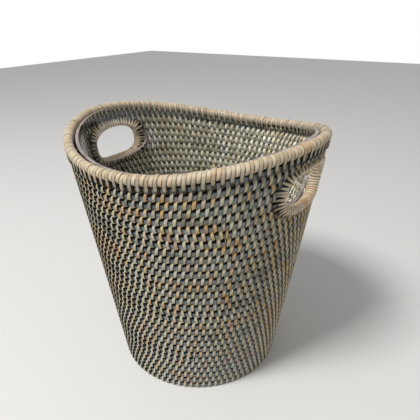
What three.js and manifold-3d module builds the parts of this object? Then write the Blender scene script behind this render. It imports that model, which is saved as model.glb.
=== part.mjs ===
// Woven rattan champagne bucket with two hand openings and a clear lift-out liner.
// Millimetres, +Z up. The hand openings lie on the X axis and the base hoop stands on z = 0.
import * as THREE from 'three';
import Module from 'manifold-3d';
import { mergeVertices } from 'three/addons/utils/BufferGeometryUtils.js';

const wasm = await Module();
wasm.setup();

// Basket: the rim's centre line is an oval that climbs at the hand openings and dips between them
const RIM_HALF_LENGTH = 132;
const RIM_HALF_WIDTH = 115;
const RIM_HEIGHT = 255;
const RIM_RISE = 10;
const BASE_RADIUS = 88;

// Wall: cane hoops stacked in courses, of which the base hoop is the first
const COURSES = 31;
const CANE_WIDTH = 6;
const SEAT_GAP = 0.4;
const BASE_HOOP_CHAMFER = 1.5;

// Rim: a round cane in a sleeve of split-cane binding, open underneath where it is laced to the wall
const RIM_CANE = 6;
const BINDING = 1.2;
const BINDING_GAP = 0.4;
const RIM_LACING_HALF_ANGLE = THREE.MathUtils.degToRad(40);

// Hand openings: a cane loop in its binding takes the place of some courses under the rim
const OPENING_COURSES = 6;
const COURSES_ABOVE_OPENING = 1;
const OPENING_WIDTH = 61;
const OPENING_SQUARENESS = 3;
const LOOP_CANE = 8;
const FLAP_AT_ENDS = 9;
const FLAP_AT_SIDES = 2;
const CANE_END_HALF_SPAN = 28;

// Base: one cane coiled flat inside the base hoop
const BASE_CANE = 6.6;
const BASE_COIL_SPACING = 0.8;
const BASE_COIL_LIFT = 1;
const BASE_COIL_EYE = 6;

// Liner: clear acrylic, its edge level with the rim
const LINER_WALL = 3;
const LINER_INSET = 7;
const LINER_EDGE_RISE = 1;
const LINER_CORNER = 12;
const LINER_OPENING_SQUARENESS = 2.2;
const LINER_OPENING_SIDE_MARGIN = 8;
const LINER_OPENING_TOP_MARGIN = 2;

// Facets
const RING_STEPS = 28;
const LOOP_STEPS = 28;
const ARC_POINTS = 6;
const CORNER_POINTS = 4;
const COIL_STEPS_PER_TURN = 18;
const CANE_SIDES = 6;
const OUTLINE_POINTS = 40;

// Worked out from the sizes above
const WALL_TOP = RIM_HEIGHT - RIM_CANE / 2 - SEAT_GAP;
const PITCH = WALL_TOP / COURSES;
const FULL_TURN = 2 * Math.PI;

const CANE_COLOUR = 0x938c72;
const BINDING_COLOUR = 0xd3c4a2;
const BASE_COLOUR = 0x857b62;
const LINER_COLOUR = 0xe9eff1;

function lerp(from, to, share) {
  return from + (to - from) * share;
}

function halfLengthAt(level) {
  return lerp(BASE_RADIUS, RIM_HALF_LENGTH, level / RIM_HEIGHT);
}

function halfWidthAt(level) {
  return lerp(BASE_RADIUS, RIM_HALF_WIDTH, level / RIM_HEIGHT);
}

// How far the saddle lifts a course of mean height level at the hand openings
function riseAt(level) {
  return RIM_RISE * Math.min(level / WALL_TOP, 1) ** 3;
}

// A point of the wall's middle surface, moved out along its level normal
function wallPoint(level, turn, out = 0, rise = riseAt(level)) {
  const halfLength = halfLengthAt(level);
  const halfWidth = halfWidthAt(level);
  const normal = new THREE.Vector2(halfWidth * Math.cos(turn), halfLength * Math.sin(turn)).normalize();
  return new THREE.Vector3(
    halfLength * Math.cos(turn) + out * normal.x,
    halfWidth * Math.sin(turn) + out * normal.y,
    level + rise * Math.cos(2 * turn),
  );
}

function wallNormal(level, turn) {
  const step = 1e-3;
  const round = wallPoint(level, turn + step).sub(wallPoint(level, turn - step));
  const upward = wallPoint(level + step, turn).sub(wallPoint(level - step, turn));
  return round.cross(upward).normalize();
}

// Sections, each a loop of points, joined in a row: closed on themselves or capped at both ends
function joinSections(sections, closed) {
  const sides = sections[0].length;
  const positions = sections.flat().flatMap((point) => point.toArray());
  const triangles = [];
  const rows = closed ? sections.length : sections.length - 1;
  for (let row = 0; row < rows; row += 1) {
    const here = row * sides;
    const next = ((row + 1) % sections.length) * sides;
    for (let side = 0; side < sides; side += 1) {
      const after = (side + 1) % sides;
      triangles.push(here + side, next + side, next + after);
      triangles.push(here + side, next + after, here + after);
    }
  }
  if (!closed) {
    const last = (sections.length - 1) * sides;
    for (let side = 1; side < sides - 1; side += 1) {
      triangles.push(0, side, side + 1);
      triangles.push(last, last + side + 1, last + side);
    }
  }
  const geometry = new THREE.BufferGeometry();
  geometry.setAttribute('position', new THREE.Float32BufferAttribute(positions, 3));
  geometry.setIndex(triangles);
  return geometry;
}

// Rings stacked from a pole below to a pole above, as a bowl's skin is
function joinRings(rings, firstPole, lastPole) {
  const steps = rings[0].length;
  const positions = [...rings.flat(), firstPole, lastPole].flatMap((point) => point.toArray());
  const first = rings.length * steps;
  const triangles = [];
  for (let step = 0; step < steps; step += 1) {
    const after = (step + 1) % steps;
    triangles.push(first, after, step);
    for (let ring = 0; ring < rings.length - 1; ring += 1) {
      const low = ring * steps;
      const high = low + steps;
      triangles.push(low + step, low + after, high + after);
      triangles.push(low + step, high + after, high + step);
    }
    const top = (rings.length - 1) * steps;
    triangles.push(top + step, top + after, first + 1);
  }
  const geometry = new THREE.BufferGeometry();
  geometry.setAttribute('position', new THREE.Float32BufferAttribute(positions, 3));
  geometry.setIndex(triangles);
  return geometry;
}

function toSolid(geometry) {
  const bare = geometry.clone();
  bare.deleteAttribute('normal');
  bare.deleteAttribute('uv');
  const merged = mergeVertices(bare);
  return new wasm.Manifold(new wasm.Mesh({
    numProp: 3,
    vertProperties: new Float32Array(merged.getAttribute('position').array),
    triVerts: new Uint32Array(merged.getIndex().array),
  }));
}

function toGeometry(solid) {
  const mesh = solid.getMesh();
  const geometry = new THREE.BufferGeometry();
  geometry.setAttribute('position', new THREE.BufferAttribute(mesh.vertProperties, 3));
  geometry.setIndex(new THREE.BufferAttribute(mesh.triVerts, 1));
  return geometry;
}

function turnsOf(steps) {
  return Array.from({ length: steps }, (_, step) => FULL_TURN * step / steps);
}

function addPiece(group, name, geometry, colour, roughness = 0.75) {
  geometry.computeVertexNormals();
  const material = new THREE.MeshStandardMaterial({ color: colour, roughness, metalness: 0 });
  const mesh = new THREE.Mesh(geometry, material);
  mesh.name = name;
  group.add(mesh);
  return mesh;
}

// A hoop that follows the wall: section lists points as [out, level above the hoop's middle]
function wallHoop(middle, section) {
  return joinSections(turnsOf(RING_STEPS).map((turn) => (
    section.map(([out, up]) => wallPoint(middle + up, turn, out))
  )), true);
}

function courseSection() {
  const side = CANE_WIDTH / 2;
  const top = (PITCH - SEAT_GAP) / 2;
  return [[0, top], [-side, top / 2], [-side, -top / 2], [0, -top], [side, -top / 2], [side, top / 2]];
}

// The base hoop is flat underneath, so that the basket stands on it
function baseHoopSection() {
  const side = CANE_WIDTH / 2;
  const foot = -PITCH / 2;
  const top = (PITCH - SEAT_GAP) / 2;
  const inner = side - BASE_HOOP_CHAMFER;
  return [
    [0, top], [-side, top / 2], [-side, foot + BASE_HOOP_CHAMFER], [-inner, foot],
    [inner, foot], [side, foot + BASE_HOOP_CHAMFER], [side, top / 2],
  ];
}

// The hand opening's place, from the edges of the courses that it interrupts
const lastOpenCourse = COURSES - COURSES_ABOVE_OPENING;
const firstOpenCourse = lastOpenCourse - OPENING_COURSES;
const openingFoot = wallPoint(firstOpenCourse * PITCH, 0).z;
const openingHead = wallPoint(lastOpenCourse * PITCH, 0).z;
const openingHeight = (openingFoot + openingHead) / 2;
const cutHalfHeight = (openingHead - openingFoot) / 2;
const loopReach = LOOP_CANE / 2 + SEAT_GAP;
const sleeveInner = LOOP_CANE / 2 + BINDING_GAP;
const sleeveOuter = sleeveInner + BINDING;
const loopHalfHeight = cutHalfHeight - loopReach;
const loopHalfWidth = OPENING_WIDTH / 2 + sleeveOuter;
const openingHalfHeight = loopHalfHeight - sleeveOuter;

// A superellipse: an ellipse at a squareness of 2, and more of a rounded rectangle above it
function roundedOutline(halfWidth, halfHeight, angle, squareness = OPENING_SQUARENESS) {
  const across = Math.abs(Math.cos(angle)) ** squareness;
  const upward = Math.abs(Math.sin(angle)) ** squareness;
  const reach = (across + upward) ** (-1 / squareness);
  return new THREE.Vector2(halfWidth * reach * Math.cos(angle), halfHeight * reach * Math.sin(angle));
}

// A bar through both hand openings along X
function openingBar(halfWidth, halfHeight, squareness) {
  const outline = turnsOf(OUTLINE_POINTS).map((angle) => roundedOutline(halfWidth, halfHeight, angle, squareness));
  const length = 4 * RIM_HALF_LENGTH;
  const bar = new THREE.ExtrudeGeometry(new THREE.Shape(outline), { depth: length, bevelEnabled: false });
  const alongX = new THREE.Matrix4().makeBasis(
    new THREE.Vector3(0, 1, 0),
    new THREE.Vector3(0, 0, 1),
    new THREE.Vector3(1, 0, 0),
  );
  return bar.applyMatrix4(alongX).translate(-length / 2, 0, openingHeight);
}

// Where the handle side of the wall is at a distance across and a height
function handleSidePlace(across, height) {
  const passes = 8;
  let level = height;
  let turn = 0;
  for (let pass = 0; pass < passes; pass += 1) {
    turn = Math.asin(across / halfWidthAt(level));
    level = height - riseAt(level) * Math.cos(2 * turn);
  }
  return { level, turn };
}

// The loop's centre line with its frame: away from the opening, and out of the wall
function loopFrame(angle) {
  const placeAt = (at) => {
    const { x, y } = roundedOutline(loopHalfWidth, loopHalfHeight, at);
    return handleSidePlace(x, openingHeight + y);
  };
  const step = 1e-3;
  const before = placeAt(angle - step);
  const after = placeAt(angle + step);
  const { level, turn } = placeAt(angle);
  const centre = wallPoint(level, turn);
  const out = wallNormal(level, turn);
  const along = wallPoint(after.level, after.turn).sub(wallPoint(before.level, before.turn)).normalize();
  const away = along.cross(out).normalize();
  return { centre, away, out };
}

// Sections of the loop's cane or binding: shape gives points as [away, out] for an angle
function loopSolid(shape) {
  return joinSections(turnsOf(LOOP_STEPS).map((angle) => {
    const { centre, away, out } = loopFrame(angle);
    return shape(angle).map(([sideways, outward]) => (
      centre.clone().addScaledVector(away, sideways).addScaledVector(out, outward)
    ));
  }), true);
}

function circlePoints(radius, count, from = 0, to = FULL_TURN, closes = true) {
  const spans = closes ? count : count - 1;
  return Array.from({ length: count }, (_, index) => {
    const angle = lerp(from, to, index / spans);
    return [radius * Math.cos(angle), radius * Math.sin(angle)];
  });
}

// A sleeve round the loop's cane, with flaps that lie on both faces of the wall
function loopSleeveSection(angle) {
  const flap = lerp(FLAP_AT_SIDES, FLAP_AT_ENDS, Math.cos(angle) ** 2);
  const quarter = Math.PI / 2;
  const outer = circlePoints(sleeveOuter, ARC_POINTS, quarter, 3 * quarter, false);
  const inner = circlePoints(sleeveInner, ARC_POINTS, 3 * quarter, quarter, false);
  return [
    [flap, sleeveOuter], ...outer, [flap, -sleeveOuter],
    [flap, -sleeveInner], ...inner, [flap, sleeveInner],
  ];
}

// Rim cane and its binding, as [out, up] from the rim's centre line
function rimSolid(section) {
  return joinSections(turnsOf(RING_STEPS).map((turn) => (
    section.map(([out, up]) => wallPoint(RIM_HEIGHT, turn, out).setZ(wallPoint(RIM_HEIGHT, turn).z + up))
  )), true);
}

function rimSleeveSection() {
  const inner = RIM_CANE / 2 + BINDING_GAP;
  const from = -Math.PI / 2 + RIM_LACING_HALF_ANGLE;
  const to = 3 * Math.PI / 2 - RIM_LACING_HALF_ANGLE;
  const count = 2 * ARC_POINTS - 4;
  return [
    ...circlePoints(inner + BINDING, count, from, to, false),
    ...circlePoints(inner, count, to, from, false),
  ];
}

// Base coil: a flat spiral from its eye to the base hoop
function baseCoil() {
  const radius = BASE_CANE / 2;
  const pitch = BASE_CANE + BASE_COIL_SPACING;
  const outerRadius = BASE_RADIUS - CANE_WIDTH / 2 - SEAT_GAP - radius;
  const turns = (outerRadius - BASE_COIL_EYE) / pitch;
  const steps = Math.round(turns * COIL_STEPS_PER_TURN);
  const height = BASE_COIL_LIFT + radius;
  const route = Array.from({ length: steps + 1 }, (_, step) => {
    const turn = FULL_TURN * turns * step / steps;
    const reach = lerp(BASE_COIL_EYE, outerRadius, step / steps);
    return new THREE.Vector3(reach * Math.cos(turn), reach * Math.sin(turn), height);
  });
  let least = Infinity;
  const halfTurn = Math.round(COIL_STEPS_PER_TURN / 2);
  route.forEach((point, index) => {
    route.slice(index + halfTurn).forEach((other) => {
      least = Math.min(least, point.distanceTo(other) - BASE_CANE);
    });
  });
  console.log(`base coil: ${turns.toFixed(1)} turns, least gap to itself ${least.toFixed(2)} mm`);
  const sections = route.map((point, index) => {
    const before = route[Math.max(index - 1, 0)];
    const after = route[Math.min(index + 1, steps)];
    const along = after.clone().sub(before).normalize();
    const outward = new THREE.Vector3(along.y, -along.x, 0);
    return circlePoints(radius, CANE_SIDES).map(([sideways, up]) => (
      point.clone().addScaledVector(outward, sideways).add(new THREE.Vector3(0, 0, up))
    ));
  });
  return joinSections(sections, false);
}

// Liner: an oval bowl with round corners, its edge following the rim
function linerSolid() {
  const floor = BASE_COIL_LIFT + BASE_CANE + SEAT_GAP;
  const edge = RIM_HEIGHT + LINER_EDGE_RISE;
  const ring = (inset, level, rise) => (
    turnsOf(RING_STEPS).map((turn) => wallPoint(level, turn, -LINER_INSET - inset, rise))
  );
  const corner = (inset, radius) => Array.from({ length: CORNER_POINTS }, (_, index) => {
    const angle = (Math.PI / 2) * index / (CORNER_POINTS - 1);
    const inward = inset + radius * (1 - Math.sin(angle));
    return ring(inward, floor + inset + radius * (1 - Math.cos(angle)), 0);
  });
  const outside = [...corner(0, LINER_CORNER), ring(0, edge, RIM_RISE)];
  const inside = [ring(LINER_WALL, edge, RIM_RISE), ...corner(LINER_WALL, LINER_CORNER - LINER_WALL).reverse()];
  const below = new THREE.Vector3(0, 0, floor);
  const above = new THREE.Vector3(0, 0, floor + LINER_WALL);
  const bowl = joinRings([...outside, ...inside], below, above);
  const bar = openingBar(
    OPENING_WIDTH / 2 + LINER_OPENING_SIDE_MARGIN,
    openingHalfHeight + LINER_OPENING_TOP_MARGIN,
    LINER_OPENING_SQUARENESS,
  );
  return toGeometry(toSolid(bowl).subtract(toSolid(bar)));
}

// Courses that meet the hand openings end at the loops, so each is a front and a back cane
function openCourseHalves(geometry) {
  const bar = toSolid(openingBar(loopHalfWidth + loopReach, cutHalfHeight));
  const endTrim = new THREE.BoxGeometry(4 * RIM_HALF_LENGTH, 2 * CANE_END_HALF_SPAN, 2 * cutHalfHeight);
  const trim = toSolid(endTrim.translate(0, 0, openingHeight));
  const canes = toSolid(geometry).subtract(bar).subtract(trim);
  const half = new THREE.BoxGeometry(4 * RIM_HALF_LENGTH, 2 * RIM_HALF_WIDTH, 4 * RIM_HEIGHT);
  return {
    front: toGeometry(canes.intersect(toSolid(half.clone().translate(0, -RIM_HALF_WIDTH, 0)))),
    back: toGeometry(canes.intersect(toSolid(half.clone().translate(0, RIM_HALF_WIDTH, 0)))),
  };
}

function buildBasket() {
  const basket = new THREE.Group();
  addPiece(basket, 'base_hoop', wallHoop(PITCH / 2, baseHoopSection()), CANE_COLOUR);
  addPiece(basket, 'base_coil', baseCoil(), BASE_COLOUR);
  for (let course = 1; course < COURSES; course += 1) {
    const name = `course_${String(course + 1).padStart(2, '0')}`;
    const hoop = wallHoop((course + 0.5) * PITCH, courseSection());
    if (course < firstOpenCourse || course >= lastOpenCourse) {
      addPiece(basket, name, hoop, CANE_COLOUR);
      continue;
    }
    const { front, back } = openCourseHalves(hoop);
    addPiece(basket, `${name}_front`, front, CANE_COLOUR);
    addPiece(basket, `${name}_back`, back, CANE_COLOUR);
  }
  addPiece(basket, 'rim_hoop', rimSolid(circlePoints(RIM_CANE / 2, CANE_SIDES)), CANE_COLOUR);
  addPiece(basket, 'rim_binding', rimSolid(rimSleeveSection()), BINDING_COLOUR);
  for (const [side, facing] of [['right', 0], ['left', Math.PI]]) {
    const loop = loopSolid(() => circlePoints(LOOP_CANE / 2, CANE_SIDES));
    addPiece(basket, `handle_loop_${side}`, loop, CANE_COLOUR).rotation.z = facing;
    addPiece(basket, `handle_binding_${side}`, loopSolid(loopSleeveSection), BINDING_COLOUR).rotation.z = facing;
  }
  return basket;
}

function buildLiner() {
  const liner = new THREE.Group();
  const mesh = addPiece(liner, 'liner', linerSolid(), LINER_COLOUR, 0.08);
  mesh.material.transparent = true;
  mesh.material.opacity = 0.3;
  return liner;
}

const bucket = new THREE.Group();
bucket.add(buildBasket(), buildLiner());

export default bucket;
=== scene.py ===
# %% [markdown]
# # A woven bucket with a clear liner
# The bucket is a basket of grey-washed rattan. Round canes lie in courses, one above another, and flat
# strips of split cane go up the wall, over one course and under the next. A pale binding is wound round
# the rim and round two hand openings, and a clear liner stands inside. The solids come from the packed
# frame. They are plain, so each one gives way here to a piece with the shape and finish that the eye sees.

# %% Load the frame
import math

import bpy
import numpy as np
from mathutils import Matrix, Vector


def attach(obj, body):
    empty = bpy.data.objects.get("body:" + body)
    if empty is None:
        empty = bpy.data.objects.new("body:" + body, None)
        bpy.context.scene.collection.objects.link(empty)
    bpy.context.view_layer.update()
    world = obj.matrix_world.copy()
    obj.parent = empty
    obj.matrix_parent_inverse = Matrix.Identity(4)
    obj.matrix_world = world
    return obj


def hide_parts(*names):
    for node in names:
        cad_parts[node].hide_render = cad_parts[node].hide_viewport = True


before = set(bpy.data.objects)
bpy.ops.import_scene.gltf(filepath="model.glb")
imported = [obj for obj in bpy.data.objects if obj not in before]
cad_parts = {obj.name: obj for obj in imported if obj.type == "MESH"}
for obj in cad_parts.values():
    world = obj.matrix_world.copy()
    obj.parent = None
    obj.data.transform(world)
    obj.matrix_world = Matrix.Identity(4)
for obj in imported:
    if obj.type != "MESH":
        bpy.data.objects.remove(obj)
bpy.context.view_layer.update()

# %% [markdown]
# ## The wall's surface
# Everything on the basket follows one surface, so it is written once: an oval that widens upwards, whose
# courses climb towards the hand openings and dip between them, the more so the higher they lie. A place on
# it is a level (mean height), a turn (angle round the basket) and a distance out of the wall's middle. A
# mesh could be modelled and everything shrink-wrapped to it, but a formula is exact, and so canes, strips,
# binding and liner fit each other.

# %% Sizes of the basket, in metres
RIM_HALF_LENGTH = 0.132
RIM_HALF_WIDTH = 0.115
RIM_HEIGHT = 0.255
RIM_RISE = 0.010
RISE_POWER = 3
BASE_RADIUS = 0.088
COURSES = 31
RIM_CANE = 0.006
SEAT_GAP = 0.0004
WALL_TOP = RIM_HEIGHT - RIM_CANE / 2 - SEAT_GAP
PITCH = WALL_TOP / COURSES
FULL_TURN = 2 * math.pi


def oval_at(level):
    """Half length and half width of the wall's middle at a level."""
    share = level / RIM_HEIGHT
    half_length = BASE_RADIUS + (RIM_HALF_LENGTH - BASE_RADIUS) * share
    half_width = BASE_RADIUS + (RIM_HALF_WIDTH - BASE_RADIUS) * share
    return half_length, half_width


def level_normal(level, turn):
    """The wall's outward direction at a place, kept level, as x and y."""
    half_length, half_width = oval_at(level)
    x = half_width * np.cos(turn)
    y = half_length * np.sin(turn)
    size = np.hypot(x, y)
    return x / size, y / size


def rise_at(level):
    """How far a course at this mean height climbs at the openings, and dips between them."""
    return RIM_RISE * np.clip(level / WALL_TOP, 0, 1) ** RISE_POWER


def wall_points(level, turn, out):
    """Points on the wall, from arrays of levels, turns and distances out."""
    half_length, half_width = oval_at(level)
    normal_x, normal_y = level_normal(level, turn)
    x = half_length * np.cos(turn) + out * normal_x
    y = half_width * np.sin(turn) + out * normal_y
    z = level + rise_at(level) * np.cos(2 * turn)
    return np.stack(np.broadcast_arrays(x, y, z), axis=-1)


def metres_per_turn(level, turn):
    """Length along the wall for one radian of turn."""
    half_length, half_width = oval_at(level)
    return np.hypot(half_length * np.sin(turn), half_width * np.cos(turn))


print("courses:", COURSES, "of", round(PITCH * 1000, 2), "mm")

# %% [markdown]
# ## The camera
# The camera stands in front and to the right of the basket and looks down into it, quite near, so the
# mouth looks wide. Its place was fitted to the rim and the outline. A small yaw, pitch and roll aim it a
# little off the basket's middle, as a hand-held camera is. A Track To constraint could aim it, but not roll
# it, so its three axes are worked out.

# %% Camera
VIEW_AZIMUTH = 0.690
VIEW_ELEVATION = 0.519
VIEW_DISTANCE = 0.4801
VIEW_TARGET = Vector((0, 0, 0.1274))
VIEW_YAW = 0.033
VIEW_PITCH = 0.075
VIEW_ROLL = -0.022
LENS = 36.04
SENSOR = 36.0


def aimed_camera():
    back = Vector((
        math.sin(VIEW_AZIMUTH) * math.cos(VIEW_ELEVATION),
        -math.cos(VIEW_AZIMUTH) * math.cos(VIEW_ELEVATION),
        math.sin(VIEW_ELEVATION),
    ))
    right = Vector((math.cos(VIEW_AZIMUTH), math.sin(VIEW_AZIMUTH), 0))
    up = back.cross(right)
    ahead = (-back + math.tan(VIEW_YAW) * right + math.tan(VIEW_PITCH) * up).normalized()
    side = ahead.cross(Vector((0, 0, 1))).normalized()
    above = side.cross(ahead)
    rolled_side = math.cos(VIEW_ROLL) * side + math.sin(VIEW_ROLL) * above
    rolled_above = math.cos(VIEW_ROLL) * above - math.sin(VIEW_ROLL) * side
    bpy.ops.object.camera_add(location=VIEW_TARGET + back * VIEW_DISTANCE)
    camera = bpy.context.object
    turn = Matrix((rolled_side, rolled_above, -ahead)).transposed()
    camera.rotation_euler = turn.to_euler()
    camera.data.lens = LENS
    camera.data.sensor_width = SENSOR
    camera.data.clip_start = 0.01
    return camera


bpy.ops.object.select_all(action="DESELECT")
bpy.context.scene.camera = aimed_camera()
print("camera at", [round(v, 3) for v in bpy.context.scene.camera.location])

# %% [markdown]
# ## Blanks, bent to their places
# A basket maker cuts straight strips and canes and bends them to the basket. The pieces here are made the
# same way: a straight blank is modelled once, each copy gets its own mesh, and a formula lays every point
# of it where it belongs. A curve with a bevel could do that too, but it twists at sharp bends and carries
# no attributes. Two go with the points here. Grain holds the place across the strip, the length along it and
# the strip's own tone, so that the material's grain follows the strip. Look holds painted shade, a dark put
# where shade falls in the weave, in gaps and under bindings, and how far a point has a piece's second set of
# tones: those of the basket's inner side, or of worn binding, which is darker with painted shade too.

# %% Bending a blank
def deselect():
    bpy.ops.object.select_all(action="DESELECT")


def set_vectors(mesh, name, parts):
    """Writes a vector attribute from three parts, each an array or one number for all points."""
    layer = mesh.attributes.get(name) or mesh.attributes.new(name, "FLOAT_VECTOR", "POINT")
    vectors = np.empty((len(mesh.vertices), 3), dtype=np.float32)
    for column, part in enumerate(parts):
        vectors[:, column] = part
    layer.data.foreach_set("vector", vectors.ravel())


def bend(piece, place):
    """Lays each point where place says: it takes the blank's x, y and z and gives points, grain and look."""
    mesh = piece.data
    flat = np.empty(len(mesh.vertices) * 3, dtype=np.float32)
    mesh.vertices.foreach_get("co", flat)
    points, grain, look = place(*flat.reshape(-1, 3).astype(float).T)
    mesh.vertices.foreach_set("co", points.astype(np.float32).ravel())
    set_vectors(mesh, "grain", grain)
    set_vectors(mesh, "look", look)
    mesh.update()
    return piece


# %% Straight blanks
ROLLED_SEAM = 1e-4


def apply_modifier(piece, kind, **settings):
    """Adds a modifier with these settings and applies it."""
    bpy.context.view_layer.objects.active = piece
    modifier = piece.modifiers.new(kind.lower(), kind)
    for name, value in settings.items():
        setattr(modifier, name, value)
    bpy.ops.object.modifier_apply(modifier=modifier.name)


def strip_blank(steps, across=2):
    """A flat strip: x across it from -0.5 to 0.5, y along from 0 to 1, z through it from -0.5 to 0.5."""
    deselect()
    bpy.ops.mesh.primitive_grid_add(x_subdivisions=across, y_subdivisions=steps, size=1)
    blank = bpy.context.object
    bpy.ops.object.mode_set(mode="EDIT")
    bpy.ops.transform.translate(value=(0, 0.5, 0))
    bpy.ops.object.mode_set(mode="OBJECT")
    apply_modifier(blank, "SOLIDIFY", thickness=1, offset=0)
    return blank


def cane_blank(steps, sides=10, capped=True):
    """A round cane, rolled from a grid: x and y across it from -0.5 to 0.5, z along from 0 to 1."""
    deselect()
    bpy.ops.mesh.primitive_grid_add(x_subdivisions=sides, y_subdivisions=steps, size=1)
    blank = bpy.context.object

    def roll(x, y, z):
        angle = FULL_TURN * x
        return np.stack([np.cos(angle) / 2, np.sin(angle) / 2, y + 0.5], -1), (x, y, z), (0, 0, 0)

    bend(blank, roll)
    bpy.ops.object.mode_set(mode="EDIT")
    bpy.ops.mesh.select_all(action="SELECT")
    bpy.ops.mesh.remove_doubles(threshold=ROLLED_SEAM)
    if capped:
        bpy.ops.mesh.fill_holes(sides=0)
    bpy.ops.object.mode_set(mode="OBJECT")
    return blank


def copy_of(blank):
    """A copy of a blank with a mesh of its own."""
    piece = blank.copy()
    piece.data = blank.data.copy()
    bpy.context.collection.objects.link(piece)
    return piece


# %% Paths, joining and chance
SEAM = 1e-5
SEED = 7


def smooth_step(low, high, value):
    """A share that goes from 0 at low to 1 at high, gently at both ends."""
    share = np.clip((value - low) / (high - low), 0, 1)
    return share * share * (3 - 2 * share)


def along_path(path, share, depth):
    """Places at shares of a flat path's length, moved to its left by depth, and the lengths along it."""
    path = np.array(path)
    runs = np.concatenate([[0], np.cumsum(np.hypot(*np.diff(path, axis=0).T))])
    slopes = np.gradient(path, runs, axis=0)
    slopes /= np.linalg.norm(slopes, axis=1, keepdims=True)
    run = share * runs[-1]
    first = np.interp(run, runs, path[:, 0]) - depth * np.interp(run, runs, slopes[:, 1])
    second = np.interp(run, runs, path[:, 1]) + depth * np.interp(run, runs, slopes[:, 0])
    return first, second, run


def join_as(name, parts, smooth_angle=40, weld=None):
    """Joins pieces into one object, closes their seams and sets smooth shading."""
    deselect()
    for part in parts:
        part.select_set(True)
    bpy.context.view_layer.objects.active = parts[0]
    if len(parts) > 1:
        bpy.ops.object.join()
    piece = bpy.context.object
    piece.name = name
    piece.data.name = name
    bpy.ops.object.mode_set(mode="EDIT")
    bpy.ops.mesh.select_all(action="SELECT")
    if weld:
        bpy.ops.mesh.remove_doubles(threshold=weld)
    bpy.ops.mesh.normals_make_consistent(inside=False)
    bpy.ops.object.mode_set(mode="OBJECT")
    bpy.ops.object.shade_smooth_by_angle(angle=math.radians(smooth_angle))
    triangles = sum(len(face.vertices) - 2 for face in piece.data.polygons)
    print(name, "from", len(parts), "parts:", triangles, "triangles")
    return piece


def discard(*blanks):
    """Removes blanks that are no longer needed."""
    for blank in blanks:
        bpy.data.objects.remove(blank, do_unlink=True)


chance = np.random.default_rng(SEED)
print("chance starts from seed", SEED)

# %% [markdown]
# ## The hand openings
# Each opening is a loop of cane let into the wall, a rounded rectangle in outline. Courses and strips stop
# at it, so its outline is needed first. A boolean could cut the finished weave, but cut ends would show, and
# the real ones end under the binding. So the outline is drawn flat, across and up, and laid on the wall.

# %% Opening outline
OPENING_COURSES = 6
COURSES_ABOVE_OPENING = 1
OPENING_WIDTH = 0.061
OPENING_SQUARENESS = 3
LOOP_CANE = 0.008
BINDING = 0.0012
BINDING_GAP = 0.0004
# Painted shade on the wall under the handles' bindings, seen in the gaps between their turns.
BINDING_SHADE_AT_ENDS = 0.0158
BINDING_SHADE_AT_SIDES = 0.0090
BINDING_SHADE_FULL = 0.92
LEVEL_ROUNDS = 8

last_open = COURSES - COURSES_ABOVE_OPENING
first_open = last_open - OPENING_COURSES
opening_foot = float(wall_points(first_open * PITCH, 0.0, 0.0)[2])
opening_head = float(wall_points(last_open * PITCH, 0.0, 0.0)[2])
opening_height = (opening_foot + opening_head) / 2
cut_half_height = (opening_head - opening_foot) / 2
sleeve_outer = LOOP_CANE / 2 + BINDING_GAP + BINDING
loop_half_height = cut_half_height - LOOP_CANE / 2 - SEAT_GAP
loop_half_width = OPENING_WIDTH / 2 + sleeve_outer
opening_half_height = loop_half_height - sleeve_outer


def rounded_outline(half_width, half_height, angle, squareness=OPENING_SQUARENESS):
    """Points across and up of a superellipse, which is an ellipse at a squareness of 2."""
    reach = np.abs(np.cos(angle)) ** squareness + np.abs(np.sin(angle)) ** squareness
    reach = reach ** (-1 / squareness)
    return half_width * reach * np.cos(angle), half_height * reach * np.sin(angle)


def handle_side_place(across, height):
    """Level and turn on the right side of the wall, from a distance across and a true height."""
    level = np.array(height, dtype=float)
    for _ in range(LEVEL_ROUNDS):
        turn = np.arcsin(np.clip(across / oval_at(level)[1], -1, 1))
        level = height - rise_at(level) * np.cos(2 * turn)
    return level, turn


def opening_half_span(height):
    """Half the length of wall, across, that the loop takes at a true height."""
    reach = LOOP_CANE / 2 + SEAT_GAP
    share = np.clip(np.abs(height - opening_height) / (loop_half_height + reach), 0, 1)
    return (loop_half_width + reach) * (1 - share ** OPENING_SQUARENESS) ** (1 / OPENING_SQUARENESS)


def shade_under_binding(points):
    """Painted shade on the wall under a handle's binding: 1 under it and 0 clear of it."""
    across = np.abs(points[:, 1]) / (OPENING_WIDTH / 2 + BINDING_SHADE_AT_ENDS)
    up = np.abs(points[:, 2] - opening_height) / (opening_half_height + BINDING_SHADE_AT_SIDES)
    place = (across ** OPENING_SQUARENESS + up ** OPENING_SQUARENESS) ** (1 / OPENING_SQUARENESS)
    return (1 - smooth_step(BINDING_SHADE_FULL, 1, place)) * (np.abs(points[:, 0]) > RIM_HALF_LENGTH / 2)


print("opening", OPENING_WIDTH, "by", round(2 * opening_half_height, 4), "at", round(opening_height, 4))

# %% [markdown]
# ## The canes of the wall
# A course is one cane that the strips have squeezed to a flat oval, flatter still on its inner side. It is
# thinner than its solid in the frame because the strips go round it. Most courses are hoops. Each of the six
# at the hand openings is a front and a back cane that end under the loops' bindings. A torus could be a
# hoop, but it would not follow the oval or end at an opening, so all are bent from straight blanks. A hoop's
# two ends meet and are welded.

# %% Wall canes
CANE_THICKNESS = 0.0034
CANE_HEIGHT = 0.0074
CANE_DROP = 0.0003
CANE_FLATNESS = 0.5
CANE_INNER_SHARE = 0.75
CANE_INNER_SIDE = (0.05, -0.15)
# Painted shade on the canes: dark on the upper part, where the next course shades it, and a little on the
# inner side.
CANE_SHADE_RUN = 0.14
CANE_INNER_SHADE = 0.3
CANE_INNER_SHADE_FROM = 0.15
CANE_END_TUCK = 0.0045
CANE_SIDES = 14
HOOP_STEPS = 160
HALF_HOOP_STEPS = 70


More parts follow.
